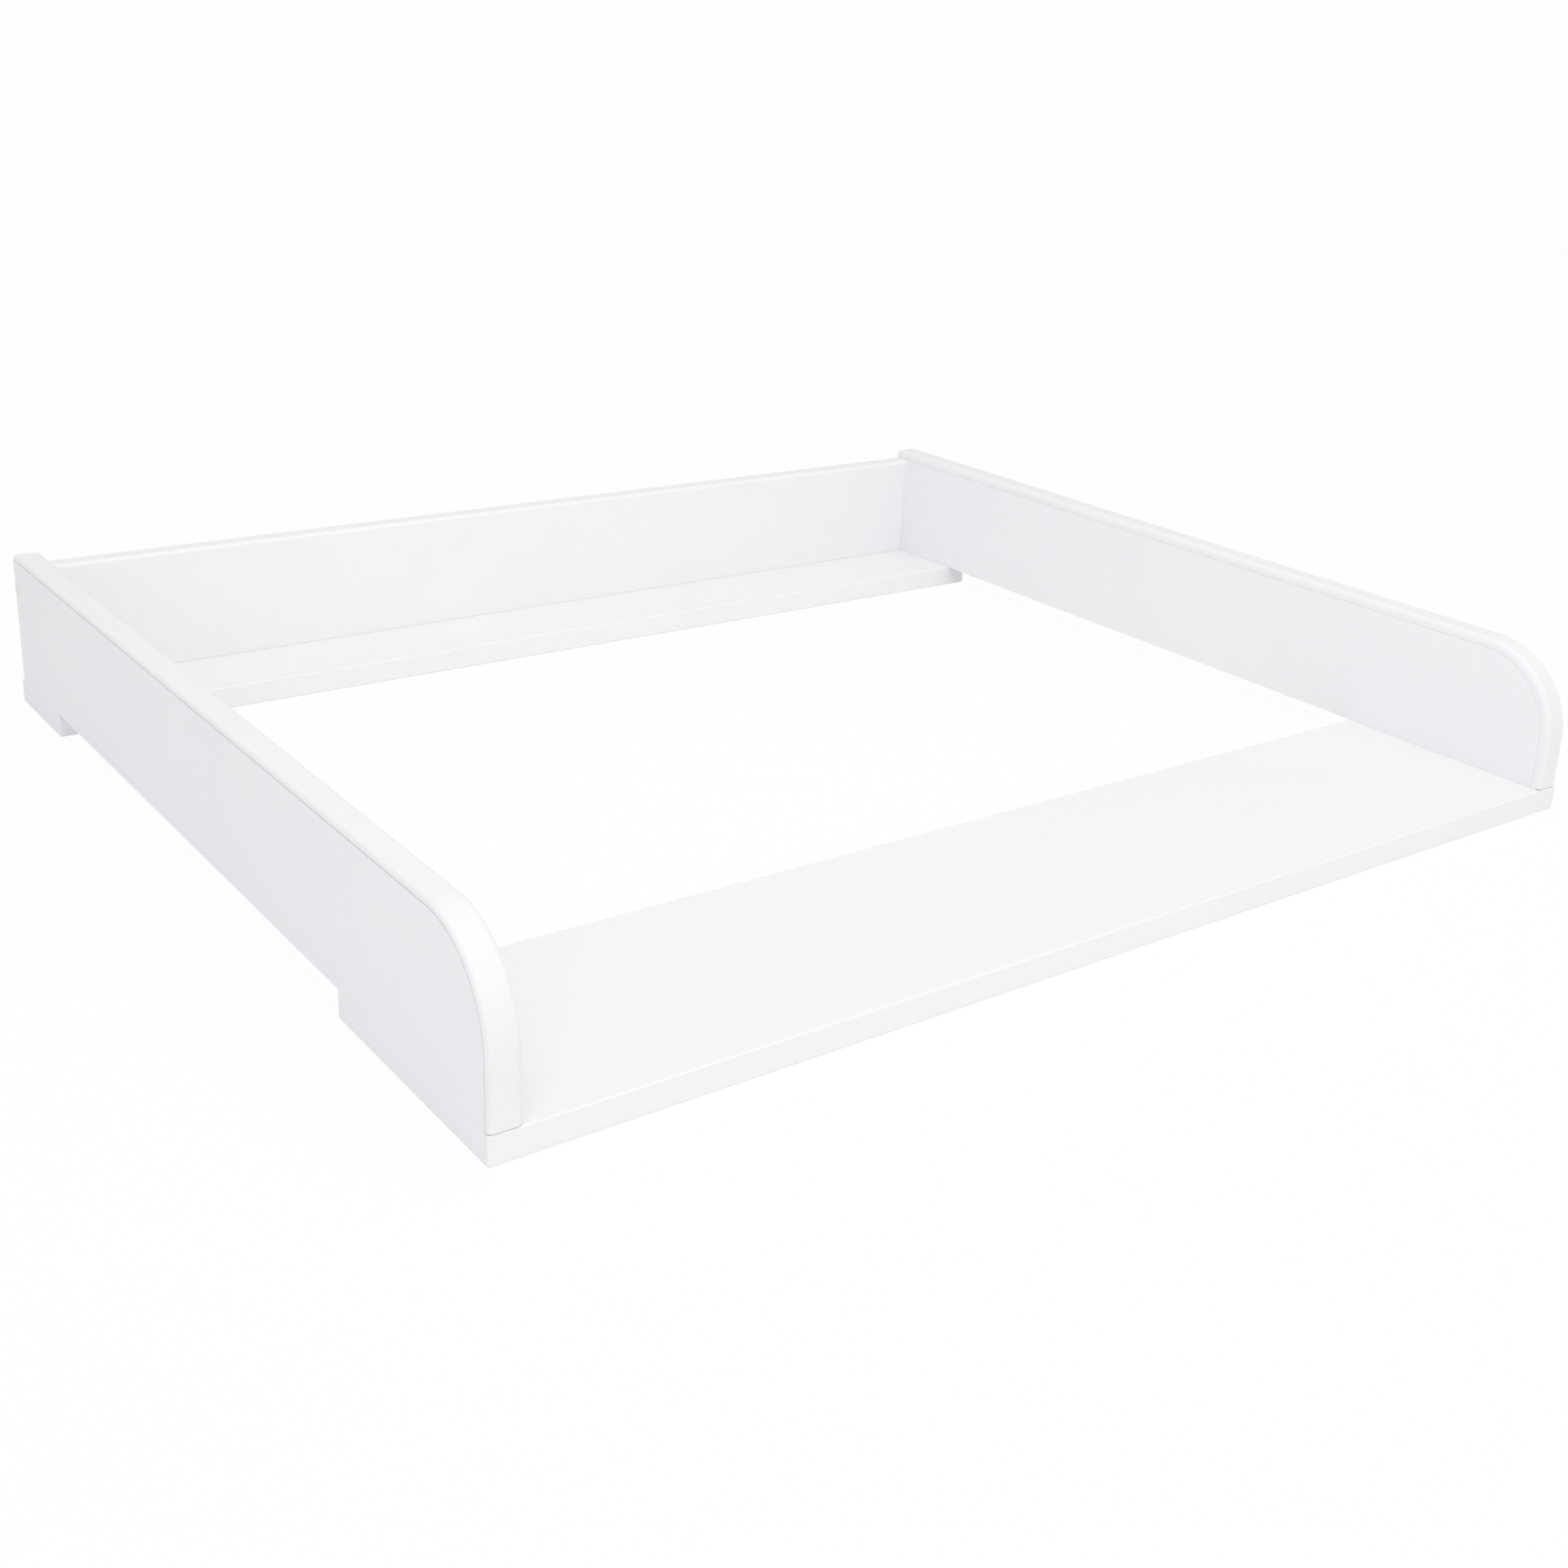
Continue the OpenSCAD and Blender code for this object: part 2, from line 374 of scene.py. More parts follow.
def blend(
    tree: bpy.types.NodeTree, share: bpy.types.NodeSocket, first: str, second: str
) -> bpy.types.NodeSocket:
    """Blend two colours.

    Args:
        tree: The material's node tree.
        share: The second colour's share.
        first: The first colour as sRGB hex.
        second: The second colour as sRGB hex.

    Returns:
        The blended colour.
    """
    inputs = {0: share, 6: srgb(first), 7: srgb(second)}
    return add_node(tree, "ShaderNodeMix", {"data_type": "RGBA"}, inputs).outputs[2]


def bump(
    tree: bpy.types.NodeTree, height: bpy.types.NodeSocket, depth_mm: float, strength: float
) -> bpy.types.NodeSocket:
    """Turn a height into a normal.

    Args:
        tree: The material's node tree.
        height: The height, from 0 to 1.
        depth_mm: How deep it is, in millimetres.
        strength: How strongly it shows.

    Returns:
        The normal.
    """
    inputs = {"Strength": strength, "Distance": depth_mm * MM, "Height": height}
    return add_node(tree, "ShaderNodeBump", inputs=inputs).outputs["Normal"]


@dataclass(frozen=True)
class Lacquer(Finish):
    """Sprayed polyurethane lacquer on medium density fibreboard.

    It gives an even white with a soft sheen. Close up it has the slight waviness that sprayed
    paint keeps when it dries, and a little unevenness in its gloss.
    """

    name: str = "lacquer_on_fibreboard"
    colour: str = "F4F4F6"
    shade_colour: str = "F1F1F4"
    roughness: float = 0.42
    roughness_spread: float = 0.05
    ior: float = 1.5
    # The waves are 1 to 2 mm across in fact, and are drawn 3 mm across so that they show
    wave_mm: float = 3.0
    wave_depth_mm: float = 0.004
    wave_strength: float = 0.5
    # The gloss changes over patches as wide as the spray fan overlaps
    patch_mm: float = 70.0

    def surface(self, tree: bpy.types.NodeTree) -> dict[str | int, object]:
        """Add the waves and the patches. See Finish.surface."""
        patches = noise(tree, self.patch_mm, 2.0)
        waves = noise(tree, self.wave_mm, 1.0)
        low, high = self.roughness - self.roughness_spread, self.roughness + self.roughness_spread
        return {
            "Base Color": blend(tree, patches, self.colour, self.shade_colour),
            "Roughness": spread(tree, patches, low, high),
            "IOR": self.ior,
            "Normal": bump(tree, waves, self.wave_depth_mm, self.wave_strength),
        }


@dataclass(frozen=True)
class EdgePlastic(Finish):
    """Satin white plastic edge band, milled round after it is glued on.

    The cutter leaves fine marks about a millimetre apart, which scraping and buffing almost
    take away.
    """

    name: str = "plastic_edge_band"
    colour: str = "F0F0F2"
    roughness: float = 0.55
    roughness_spread: float = 0.04
    mark_mm: float = 1.2
    mark_depth_mm: float = 0.003
    mark_strength: float = 0.5

    def surface(self, tree: bpy.types.NodeTree) -> dict[str | int, object]:
        """Add the cutter's marks. See Finish.surface."""
        marks = noise(tree, self.mark_mm, 1.0)
        low, high = self.roughness - self.roughness_spread, self.roughness + self.roughness_spread
        return {
            "Base Color": srgb(self.colour),
            "Roughness": spread(tree, marks, low, high),
            "Normal": bump(tree, marks, self.mark_depth_mm, self.mark_strength),
        }


@dataclass(frozen=True)
class ZincPlate(Finish):
    """Bright zinc plating on a steel screw: a pale metal, slightly uneven where it tumbled."""

    name: str = "zinc_plated_steel"
    colour: str = "C9CCD1"
    roughness_low: float = 0.25
    roughness_high: float = 0.42
    patch_mm: float = 1.5

    def surface(self, tree: bpy.types.NodeTree) -> dict[str | int, object]:
        """Add the uneven gloss. See Finish.surface."""
        patches = noise(tree, self.patch_mm, 3.0)
        return {
            "Base Color": srgb(self.colour),
            "Metallic": 1.0,
            "Roughness": spread(tree, patches, self.roughness_low, self.roughness_high),
        }


@dataclass(frozen=True)
class Beech(Finish):
    """Turned beech, unfinished: a warm pale wood with short dark flecks."""

    name: str = "turned_beech"
    colour: str = "D9B98C"
    fleck_colour: str = "B98F60"
    roughness: float = 0.7
    # Beech's rays show as flecks about half a millimetre wide
    fleck_mm: float = 0.6
    fleck_depth_mm: float = 0.05
    fleck_strength: float = 0.6

    def surface(self, tree: bpy.types.NodeTree) -> dict[str | int, object]:
        """Add the flecks. See Finish.surface."""
        flecks = noise(tree, self.fleck_mm, 4.0)
        return {
            "Base Color": blend(tree, flecks, self.colour, self.fleck_colour),
            "Roughness": self.roughness,
            "Normal": bump(tree, flecks, self.fleck_depth_mm, self.fleck_strength),
        }


@dataclass(frozen=True)
class CapPlastic(Finish):
    """Moulded polyethylene, matt white, with the fine spark-eroded grain of its mould."""

    name: str = "moulded_polyethylene"
    colour: str = "EDEDF0"
    roughness: float = 0.55
    grain_mm: float = 0.4
    grain_depth_mm: float = 0.01
    grain_strength: float = 0.4

    def surface(self, tree: bpy.types.NodeTree) -> dict[str | int, object]:
        """Add the grain. See Finish.surface."""
        grain = noise(tree, self.grain_mm, 2.0)
        return {
            "Base Color": srgb(self.colour),
            "Roughness": self.roughness,
            "Normal": bump(tree, grain, self.grain_depth_mm, self.grain_strength),
        }


# ---- Holes -----------------------------------------------------------------


@dataclass(frozen=True)
class HoleSizes:
    """The sizes of the screw and dowel holes, in metres."""

    head_d: float = 9 * MM
    head_rim: float = 0.8 * MM
    shank_d: float = 6.3 * MM
    gap: float = 0.1 * MM
    end_gap: float = 0.5 * MM
    cap_d: float = 9.5 * MM
    # How far a hole's cutter starts outside the board, and how thick its first slice is
    start_out: float = 1 * MM
    slice_t: float = 1 * MM
    # From a back screw's head to the floor of the seat that its cap lies in
    seat_gap: float = 0.2 * MM


SIZES = HoleSizes()
HOLE_SIDES = 32


@dataclass(frozen=True)
class Hole:
    """One stepped round hole, from a mouth along a direction.

    Attributes:
        mouth: The middle of the hole's mouth, in metres.
        direction: The way into the board, as a unit vector.
        steps: Pairs of depth and radius along the hole, from its mouth, in metres.
    """

    mouth: Vector
    direction: Vector
    steps: tuple[tuple[float, float], ...]

    def cutter(self) -> bpy.types.Object:
        """Model the solid that the hole removes.

        Returns:
            A turned solid, grown from a short cylinder by extruding its end ring by ring.
        """
        deselect_all()
        start_depth, start_radius = self.steps[0]
        bpy.ops.mesh.primitive_cylinder_add(
            vertices=HOLE_SIDES,
            radius=start_radius,
            depth=SIZES.slice_t,
            location=(0, 0, start_depth - SIZES.slice_t / 2),
        )
        tool = bpy.context.active_object
        bpy.ops.object.transform_apply(location=True, rotation=True, scale=True)
        select_faces(tool, lambda face: face.normal.z > 0.99)
        radius, depth = start_radius, start_depth
        for next_depth, next_radius in self.steps[1:]:
            extrude(UP * (next_depth - depth))
            ratio = next_radius / radius
            bpy.ops.transform.resize(value=(ratio, ratio, 1))
            radius, depth = next_radius, next_depth
        leave_edit()
        turn = UP.rotation_difference(self.direction).to_matrix().to_4x4()
        tool.data.transform(Matrix.Translation(self.mouth) @ turn)
        return tool


def bore(board: bpy.types.Object, holes: list[Hole]) -> None:
    """Cut holes into a board.

    Args:
        board: The board to bore.
        holes: The holes to cut.
    """
    for hole in holes:
        tool = hole.cutter()
        apply_modifier(board, "BOOLEAN", operation="DIFFERENCE", object=tool, solver="EXACT")
        bpy.data.objects.remove(tool)


def copies(node: str, axis: int, width: float, count: int) -> list[Vector]:
    """Find where the like pieces of one node stand, from the node's own box.

    Args:
        node: The node that holds the pieces.
        axis: The axis along which they are spread evenly.
        width: How wide one piece is along that axis, in metres.
        count: How many pieces the node holds.

    Returns:
        The middle of each piece, at its lowest Z.
    """
    low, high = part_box(node)
    middle = (low + high) / 2
    first, last = low[axis] + width / 2, high[axis] - width / 2
    spots = []
    for i in range(count):
        spot = Vector((middle.x, middle.y, low.z))
        if count > 1:
            spot[axis] = first + (last - first) * i / (count - 1)
        spots.append(spot)
    return spots


def screw_hole(head: Vector, direction: Vector, mouth_gap: float, length: float) -> Hole:
    """Describe the hole of a countersunk screw.

    Args:
        head: The middle of the screw head's face.
        direction: The way in which the screw points.
        mouth_gap: From the board's face to the screw head's face.
        length: The screw's length.

    Returns:
        The hole, with its mouth a little outside the board's face.
    """
    head_r = SIZES.head_d / 2 + SIZES.gap
    shank_r = SIZES.shank_d / 2 + SIZES.gap
    rim_end = SIZES.head_rim
    steps = (
        (-mouth_gap, head_r),
        (rim_end, head_r),
        (rim_end + head_r - shank_r, shank_r),
        (length + SIZES.end_gap, shank_r),
    )
    return Hole(head, direction, steps)


def dowel_hole(node: str, axis: int, spot: Vector | None = None) -> Hole:
    """Describe the hole in which a dowel sits, right through both of its boards.

    Args:
        node: The dowel's node.
        axis: The dowel's axis.
        spot: The dowel's foot, where its node holds several.

    Returns:
        The hole, whose two halves are in the two boards.
    """
    low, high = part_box(node)
    radius = (high.y - low.y) / 2 + SIZES.gap
    foot = spot.copy() if spot else (low + high) / 2
    foot[axis] = low[axis] - SIZES.end_gap
    direction = Vector((0, 0, 0))
    direction[axis] = 1
    length = high[axis] - low[axis] + 2 * SIZES.end_gap
    return Hole(foot, direction, ((SIZES.slice_t, radius), (length, radius)))


@dataclass
class Joinery:
    """Where every screw and dowel hole lies, read from the fittings themselves."""

    front_screw_count: int = 2
    strip_screw_count: int = 3
    strip_dowel_count: int = 2

    def screw_up(self, spot: Vector, node: str) -> Hole:
        """Describe the hole of a screw that points up.

        Args:
            spot: The middle of its head's face.
            node: The node that holds the screw.

        Returns:
            The screw's hole.
        """
        low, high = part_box(node)
        return screw_hole(spot, UP, low.z + SIZES.start_out, high.z - low.z)

    def front(self, side: Side) -> list[Hole]:
        """List the holes that join one side board to the front base board."""
        screws = f"front_{side.word}_screws"
        spots = copies(screws, 1, SIZES.head_d, self.front_screw_count)
        holes = [self.screw_up(spot, screws) for spot in spots]
        return holes + [dowel_hole(f"front_{side.word}_dowel", 2)]

    def rear(self, side: Side) -> list[Hole]:
        """List the holes that join one side board to the rear strip."""
        screw = f"rear_{side.word}_screw"
        holes = [self.screw_up(copies(screw, 1, SIZES.head_d, 1)[0], screw)]
        return holes + [dowel_hole(f"rear_{side.word}_dowel", 2)]

    def foot(self) -> list[Hole]:
        """List the holes that join the back board to the rear strip."""
        screws = "strip_to_back_screws"
        dowels = "strip_to_back_dowels"
        spots = copies(screws, 0, SIZES.head_d, self.strip_screw_count)
        holes = [self.screw_up(spot, screws) for spot in spots]
        dowel_low, dowel_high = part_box(dowels)
        dowel_d = dowel_high.y - dowel_low.y
        for spot in copies(dowels, 0, dowel_d, self.strip_dowel_count):
            holes.append(dowel_hole(dowels, 2, spot))
        return holes

    def end(self, side: Side) -> list[Hole]:
        """List the holes that join one side board to the back board."""
        low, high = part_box(f"{side.word}_back_screw")
        cap_low, cap_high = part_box(f"{side.word}_screw_cap")
        inward = Vector((-side.value, 0, 0))
        middle = (low + high) / 2
        outer = high.x if side is Side.RIGHT else low.x
        head = Vector((outer, middle.y, middle.z))
        cap_middle = (cap_low + cap_high) / 2
        cap_outer = cap_high.x if side is Side.RIGHT else cap_low.x
        cap_r = SIZES.cap_d / 2 + SIZES.gap
        seat_mouth = Vector((cap_outer, cap_middle.y, cap_middle.z))
        seat_steps = ((-SIZES.start_out, cap_r), (abs(cap_outer - outer), cap_r))
        seat = Hole(seat_mouth, inward, seat_steps)
        screw = screw_hole(head, inward, SIZES.seat_gap, high.x - low.x)
        return [seat, screw, dowel_hole(f"{side.word}_back_dowel", 0)]


# ---- Boards ----------------------------------------------------------------


def lies_on(edge: bmesh.types.BMEdge, **places: float) -> bool:
    """Tell whether both ends of an edge lie at given coordinates.

    Args:
        edge: The edge to test.
        **places: The coordinate along each named axis, in metres.

    Returns:
        Whether every named coordinate fits both ends.
    """
    return all(
        abs(getattr(end.co, axis) - value) < TOUCH
        for end in edge.verts
        for axis, value in places.items()
    )


@dataclass
class FlatBoard:
    """A base board that lies flat, slightly rounded, with crisp edges where side boards stand.

    Attributes:
        node: The node that this board stands for.
        holes: The holes to bore into it.
        edge_r: The rounding along its edges, in metres.
    """

    node: str
    holes: list[Hole]
    edge_r: float = 1 * MM
    edge_segments: int = 4

    def build(self) -> dict[str, bpy.types.Object]:
        """Model the board.

        Returns:
            The finished board, by its node.
        """
        low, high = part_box(self.node)
        board = add_block(f"{self.node}_body", low, high)
        bevel_edges(
            board,
            lambda edge: not any(lies_on(edge, x=x, z=high.z) for x in (low.x, high.x)),
            self.edge_r,
            self.edge_segments,
        )
        bore(board, self.holes)
        finish_mesh(board)
        return {self.node: board}


@dataclass
class SideBoard:
    """A side board, and the band glued along its front and top edge.

    Both are cut from one slab, which has the large front corner and the roundings around its
    faces. A core, which is all that lies behind and under the band, is what the two are parted
    with. A fine groove beside the band shows on the outer face, and a fine line on the inner.

    Attributes:
        side: The side that it stands on.
        holes: The holes to bore into it.
    """

    side: Side
    holes: list[Hole]
    corner_r: float = 58 * MM
    corner_segments: int = 32
    rear_corner_r: float = 6 * MM
    rear_corner_segments: int = 10
    outer_edge_r: float = 3 * MM
    outer_edge_segments: int = 7
    # As wide as the back board's dowels allow, which end 4 mm from the rear edge
    inner_edge_r: float = 4 * MM
    inner_edge_segments: int = 9
    # The least rounding that sanding leaves along the foot
    foot_edge_r: float = 0.4 * MM
    foot_edge_segments: int = 2
    # The groove that shows beside the band on the outer face
    joint_w: float = 0.6 * MM
    joint_depth: float = 0.8 * MM
    # The fine line around the inner face: from the board's edge to its middle, and its size
    line_at: float = 6.5 * MM
    line_w: float = 0.7 * MM
    line_depth: float = 0.35 * MM
    # How far the slab runs below its foot until it is trimmed, and the core past the slab
    spare: float = 20 * MM

    def build(self) -> dict[str, bpy.types.Object]:
        """Model the board and its edge band.

        Returns:
            The two finished pieces, by their nodes.
        """
        board_node, band_node = f"{self.side.word}_side_board", f"{self.side.word}_edge_band"
        board_box, band_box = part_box(board_node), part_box(band_node)
        band_t = board_box[0].y - band_box[0].y
        board = self.slab(f"{board_node}_body", *band_box)
        band = board.copy()
        band.data = board.data.copy()
        band.name = band.data.name = f"{band_node}_body"
        bpy.context.scene.collection.objects.link(band)
        self.part(band, "DIFFERENCE", self.core(self.widened(board_box, self.spare), band_t))
        core = self.core(self.widened(board_box, -self.joint_depth), band_t)
        self.raise_outer_face(core)
        self.sink_line(core, band_t)
        self.part(board, "INTERSECT", core)
        for piece, low in ((board, board_box[0]), (band, band_box[0])):
            cut_off(piece, low, -UP)
        inner_x = self.faces(board_box)[1]
        bevel_edges(
            board,
            lambda edge: lies_on(edge, x=inner_x, z=board_box[0].z),
            self.foot_edge_r,
            self.foot_edge_segments,
        )
        bore(board, self.holes)
        finish_mesh(board)
        finish_mesh(band)
        return {board_node: board, band_node: band}

    def faces(self, box: tuple[Vector, Vector]) -> tuple[float, float]:
        """Find where a box's outer and inner faces lie.

        Args:
            box: The lowest and highest corner.

        Returns:
            The outer and the inner face's x.
        """
        low, high = box
        return (low.x, high.x) if self.side is Side.LEFT else (high.x, low.x)

    def widened(self, box: tuple[Vector, Vector], outward: float) -> tuple[Vector, Vector]:
        """Widen a box sideways: by the spare past its inner face, and as told past its outer.

        Args:
            box: The lowest and highest corner.
            outward: How far the outer face moves out, in metres.

        Returns:
            The new corners.
        """
        left, right = outward, self.spare
        if self.side is Side.RIGHT:
            left, right = right, left
        return box[0] - Vector((left, 0, 0)), box[1] + Vector((right, 0, 0))

    def slab(self, name: str, low: Vector, high: Vector) -> bpy.types.Object:
        """Model the slab with its two top corners and the roundings around its faces.

        Args:
            name: The slab's name.
            low: The band's lowest corner.
            high: The band's highest corner.

        Returns:
            The slab, which runs past its foot by the spare.
        """
        slab = add_block(name, low - UP * self.spare, high)
        for y, radius, segments in (
            (low.y, self.corner_r, self.corner_segments),
            (high.y, self.rear_corner_r, self.rear_corner_segments),
        ):
            bevel_edges(slab, lambda edge: lies_on(edge, y=y, z=high.z), radius, segments)
        outer_x, inner_x = self.faces((low, high))
        for x, radius, segments in (
            (outer_x, self.outer_edge_r, self.outer_edge_segments),
            (inner_x, self.inner_edge_r, self.inner_edge_segments),
        ):
            bevel_edges(slab, lambda edge: lies_on(edge, x=x), radius, segments)
        return slab

    def core(self, box: tuple[Vector, Vector], band_t: float) -> bpy.types.Object:
        """Model what lies behind and under the band.

        Args:
            box: The core's corners; below and behind, it runs past the slab.
            band_t: The band's thickness.

        Returns:
            The core.
        """
        low, high = box
        past = 2 * self.spare
        core = add_block("core", low - UP * past, high + Vector((0, past, 0)))
        bevel_edges(
            core,
            lambda edge: lies_on(edge, y=low.y, z=high.z),
            self.corner_r - band_t,
            self.corner_segments,
        )
        return core

    def part(self, piece: bpy.types.Object, operation: str, core: bpy.types.Object) -> None:
        """Part a copy of the slab with a core, and remove the core.

        Args:
            piece: The copy of the slab.
            operation: INTERSECT keeps what lies in the core, DIFFERENCE what lies around it.
            core: The core.
        """
        apply_modifier(piece, "BOOLEAN", operation=operation, object=core, solver="EXACT")
        bpy.data.objects.remove(core)

    def select_face(self, core: bpy.types.Object, towards: int) -> None:
        """Enter edit mode with the core's large outer or inner face selected.

        Args:
            core: The core.
            towards: The sign of x that the face looks to.
        """
        half = max(face.area for face in core.data.polygons) / 2
        select_faces(
            core, lambda face: face.normal.x * towards > 0.999 and face.calc_area() > half
        )

    def raise_outer_face(self, core: bpy.types.Object) -> None:
        """Raise the outer face inside a narrow border, which becomes the groove by the band.

        Args:
            core: The core, short of the board's outer face by the groove's depth.
        """
        self.select_face(core, self.side.value)
        bpy.ops.mesh.inset(thickness=self.joint_w, depth=0)
        extrude(Vector((self.side.value * self.joint_depth, 0, 0)))
        leave_edit()

    def sink_line(self, core: bpy.types.Object, band_t: float) -> None:
        """Sink the fine line that runs beside the inner rounding.

        Args:
            core: The core, which runs past the board's inner face by the spare.
            band_t: The band's thickness.
        """
        self.select_face(core, -self.side.value)
        bpy.ops.mesh.inset(thickness=self.line_at - band_t - self.line_w / 2, depth=0)
        bpy.ops.mesh.inset(thickness=self.line_w, depth=0)
        # The line's ring is what borders on the face, without the face itself
        bpy.ops.mesh.select_more()
        mesh = bmesh.from_edit_mesh(core.data)
        selected = [face for face in mesh.faces if face.select]
        max(selected, key=lambda face: face.calc_area()).select = False
        mesh.select_flush_mode()
        bmesh.update_edit_mesh(core.data)
        extrude(Vector((self.side.value * (self.spare + self.line_depth), 0, 0)))
        leave_edit()


@dataclass
class BackBoard:
    """The back board: a slab between the side boards, rounded along its top.

    Attributes:
        holes: The holes to bore into it.
    """

    holes: list[Hole]
    node: str = "back_board"
    top_r: float = 3 * MM
    top_segments: int = 6
    end_r: float = 1 * MM
    end_segments: int = 4
    foot_edge_r: float = 0.4 * MM
    foot_edge_segments: int = 2

    def build(self) -> dict[str, bpy.types.Object]:
        """Model the board.

        Returns:
            The finished board, by its node.
        """
        low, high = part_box(self.node)
        board = add_block(f"{self.node}_body", low, high)
        for y in (low.y, high.y):
            for z, radius, segments in (
                (high.z, self.top_r, self.top_segments),
                (low.z, self.foot_edge_r, self.foot_edge_segments),
            ):
                bevel_edges(board, lambda edge: lies_on(edge, y=y, z=z), radius, segments)
            for x in (low.x, high.x):
                bevel_edges(
                    board, lambda edge: lies_on(edge, x=x, y=y), self.end_r, self.end_segments
                )
        bore(board, self.holes)
        finish_mesh(board)
        return {self.node: board}


@dataclass
class Boards:
    """The five lacquered boards and the two edge bands."""

    joinery: Joinery = field(default_factory=Joinery)

    def build(self) -> None:
        """Model and dress every board and band."""
        left, right = Side.LEFT, Side.RIGHT
        work = self.joinery
        makers: list[FlatBoard | SideBoard | BackBoard] = [
            FlatBoard("front_base_board", work.front(left) + work.front(right)),
            FlatBoard("rear_base_strip", work.rear(left) + work.rear(right) + work.foot()),
            BackBoard(work.foot() + work.end(left) + work.end(right)),
        ]
        for side in Side:
            makers.append(SideBoard(side, work.front(side) + work.rear(side) + work.end(side)))
        finishes = {"lacquer": Lacquer().build(), "edging": EdgePlastic().build()}
        for maker in makers:
            for node, piece in maker.build().items():
                slot = "edging" if node.endswith("_edge_band") else "lacquer"
                piece.data.materials.clear()
                piece.data.materials.append(finishes[slot])
                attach(piece, BODY)
                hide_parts(node)
                LOG.info("%s: %d faces", piece.name, len(piece.data.polygons))


@dataclass
class Fittings:
    """The screws, caps and dowels, which keep their own shapes and get their finishes."""

    def dress(self, nodes: dict[str, bpy.types.Object]) -> None:
        """Give every fitting its finish.

        Args:
            nodes: The part's nodes by name.
        """
        zinc, beech, plastic = ZincPlate().build(), Beech().build(), CapPlastic().build()
        for name, node in sorted(nodes.items()):
            if name.endswith("_cap"):
                finish = plastic
            elif "dowel" in name:
                finish = beech
            elif "screw" in name:
                finish = zinc
            else:
                continue
            for slot in node.material_slots:
                slot.material = finish
            LOG.info("%s: %s", name, finish.name)


# ---- Studio ----------------------------------------------------------------


@dataclass(frozen=True)
class SoftBox:
    """One soft lamp that points at the middle of the part.

    Attributes:
        name: The lamp's name.
        place: Where it hangs, in metres.
        size: The length of its sides, in metres.
        power: Its power in watts.
        colour: Its colour as sRGB hex.
    """

    name: str
    place: tuple[float, float, float]
    size: float
    power: float
    colour: str
    target: tuple[float, float, float] = (0.0, 0.0, 0.05)

    def build(self) -> None:
        """Hang the lamp."""
        lamp = bpy.data.lights.new(self.name, "AREA")
        lamp.shape = "SQUARE"
        lamp.size = self.size
        lamp.energy = self.power
        lamp.color = srgb(self.colour)[:3]
        thing = bpy.data.objects.new(self.name, lamp)
        bpy.context.scene.collection.objects.link(thing)
        aim = Vector(self.target) - Vector(self.place)
        thing.matrix_world = (
            Matrix.Translation(self.place) @ aim.to_track_quat("-Z", "Y").to_matrix().to_4x4()
        )


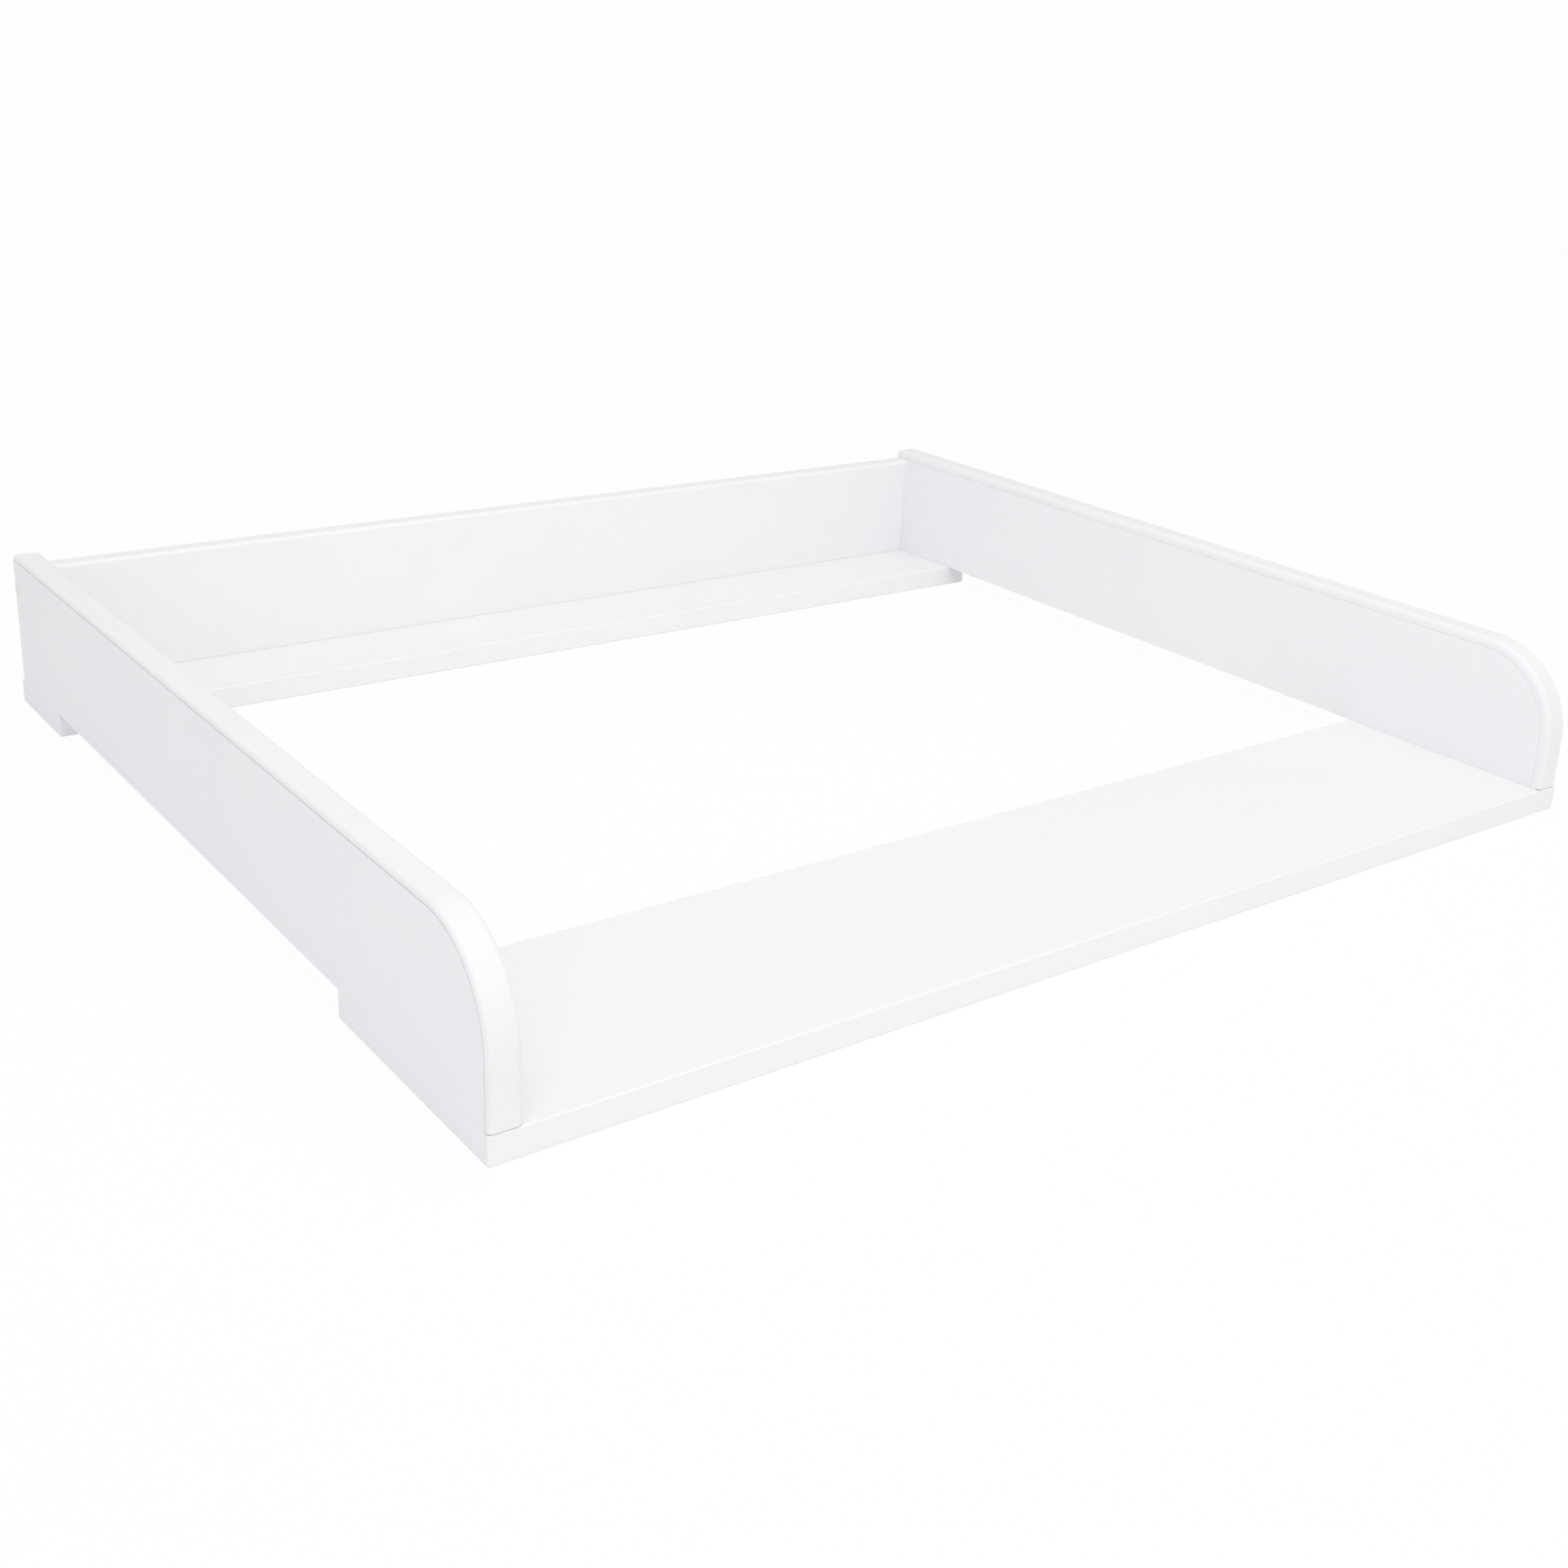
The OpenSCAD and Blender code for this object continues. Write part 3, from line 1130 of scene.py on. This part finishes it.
@dataclass
class Studio:
    """A white floor that sweeps up behind, soft lamps and the camera."""

    floor_half: float = 5.0
    sweep_h: float = 6.0
    sweep_r: float = 1.5
    sweep_segments: int = 16
    floor_colour: str = "F2F2F3"
    # How much of the floor's seen colour is its own light, and not what falls on it
    floor_glow: float = 0.94
    sky_colour: str = "FEFFFF"
    sky_strength: float = 0.79
    lamps: tuple[SoftBox, ...] = (
        SoftBox("key_lamp", (-0.9, -1.3, 2.3), 1.4, 7.7, "FEFFFC"),
        SoftBox("left_lamp", (-2.3, -2.4, 1.6), 2.0, 8.5, "EEE8FF"),
        SoftBox("front_lamp", (0.0, -3.2, 1.4), 2.5, 7.1, "FBFFDF"),
        SoftBox("over_lamp", (0.0, -0.3, 1.2), 1.0, 2.6, "FFFDF6"),
    )
    sensor_mm: float = 36
    lens_mm: float = 44.8
    shift: tuple[float, float] = (-0.0362, -0.0605)
    camera_place: tuple[float, float, float] = (-0.7412, -1.0205, 0.4896)
    # Yaw about Z, pitch and roll of the camera, in degrees
    camera_turn: tuple[float, float, float] = (-38.04, -19.25, -2.87)

    def build(self) -> None:
        """Make the floor, the sky, the lamps and the camera."""
        self.build_floor()
        self.build_sky()
        for lamp in self.lamps:
            lamp.build()
        self.build_camera()

    def build_floor(self) -> None:
        """Lay the floor and turn its edge across the view up into a backdrop."""
        deselect_all()
        bpy.ops.mesh.primitive_plane_add(size=2 * self.floor_half)
        floor = bpy.context.active_object
        floor.name = "studio_floor"
        select_edges(
            floor, lambda edge: all(v.co.y > self.floor_half - TOUCH for v in edge.verts)
        )
        extrude(UP * self.sweep_h)
        leave_edit()
        bevel_edges(
            floor, lambda edge: len(edge.link_faces) == 2, self.sweep_r, self.sweep_segments
        )
        bpy.ops.object.shade_smooth()
        floor.rotation_euler.z = math.radians(self.camera_turn[0])
        floor.data.materials.append(self.floor_material())

    def floor_material(self) -> bpy.types.Material:
        """Make white studio paper, which the camera sees a little lit from within.

        Returns:
            The floor's node material.
        """
        material, tree = new_material("studio_paper")
        paper = add_node(
            tree, "ShaderNodeBsdfDiffuse", inputs={"Color": srgb(self.floor_colour)}
        ).outputs[0]
        glow = add_node(
            tree, "ShaderNodeEmission", inputs={"Color": srgb("FFFFFF"), "Strength": 1.0}
        ).outputs[0]
        seen = add_node(
            tree, "ShaderNodeMixShader", inputs={0: self.floor_glow, 1: paper, 2: glow}
        ).outputs[0]
        rays = add_node(tree, "ShaderNodeLightPath").outputs
        surface = add_node(
            tree, "ShaderNodeMixShader", inputs={0: rays["Is Camera Ray"], 1: paper, 2: seen}
        ).outputs[0]
        add_node(tree, "ShaderNodeOutputMaterial", inputs={"Surface": surface})
        return material

    def build_sky(self) -> None:
        """Light everything evenly, and show white where nothing stands."""
        world = bpy.data.worlds.new("studio_sky")
        world.use_nodes = True
        tree = world.node_tree
        tree.nodes.clear()
        light = add_node(
            tree,
            "ShaderNodeBackground",
            inputs={"Color": srgb(self.sky_colour), "Strength": self.sky_strength},
        ).outputs[0]
        white = add_node(
            tree, "ShaderNodeBackground", inputs={"Color": srgb("FFFFFF"), "Strength": 1.0}
        ).outputs[0]
        rays = add_node(tree, "ShaderNodeLightPath").outputs
        surface = add_node(
            tree, "ShaderNodeMixShader", inputs={0: rays["Is Camera Ray"], 1: light, 2: white}
        ).outputs[0]
        add_node(tree, "ShaderNodeOutputWorld", inputs={"Surface": surface})
        bpy.context.scene.world = world

    def build_camera(self) -> None:
        """Place the camera and make it the scene's."""
        lens = bpy.data.cameras.new("studio_camera")
        lens.sensor_width = self.sensor_mm
        lens.lens = self.lens_mm
        lens.shift_x, lens.shift_y = self.shift
        camera = bpy.data.objects.new("studio_camera", lens)
        bpy.context.scene.collection.objects.link(camera)
        yaw, pitch, roll = (math.radians(angle) for angle in self.camera_turn)
        turn = (
            Matrix.Rotation(yaw, 4, "Z")
            @ Matrix.Rotation(pitch, 4, "X")
            @ Matrix.Rotation(roll, 4, "Y")
            @ Matrix.Rotation(math.pi / 2, 4, "X")
        )
        camera.matrix_world = Matrix.Translation(self.camera_place) @ turn
        bpy.context.scene.camera = camera


# ---- Main ------------------------------------------------------------------


def main() -> None:
    """Load the part, model its boards, dress its fittings and light it."""
    logging.basicConfig(level=logging.INFO, format="%(name)s: %(message)s")
    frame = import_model()
    Studio().build()
    Boards().build()
    Fittings().dress(frame["nodes"])
    bpy.context.scene.view_settings.view_transform = "Standard"


if __name__ == "__main__":
    main()
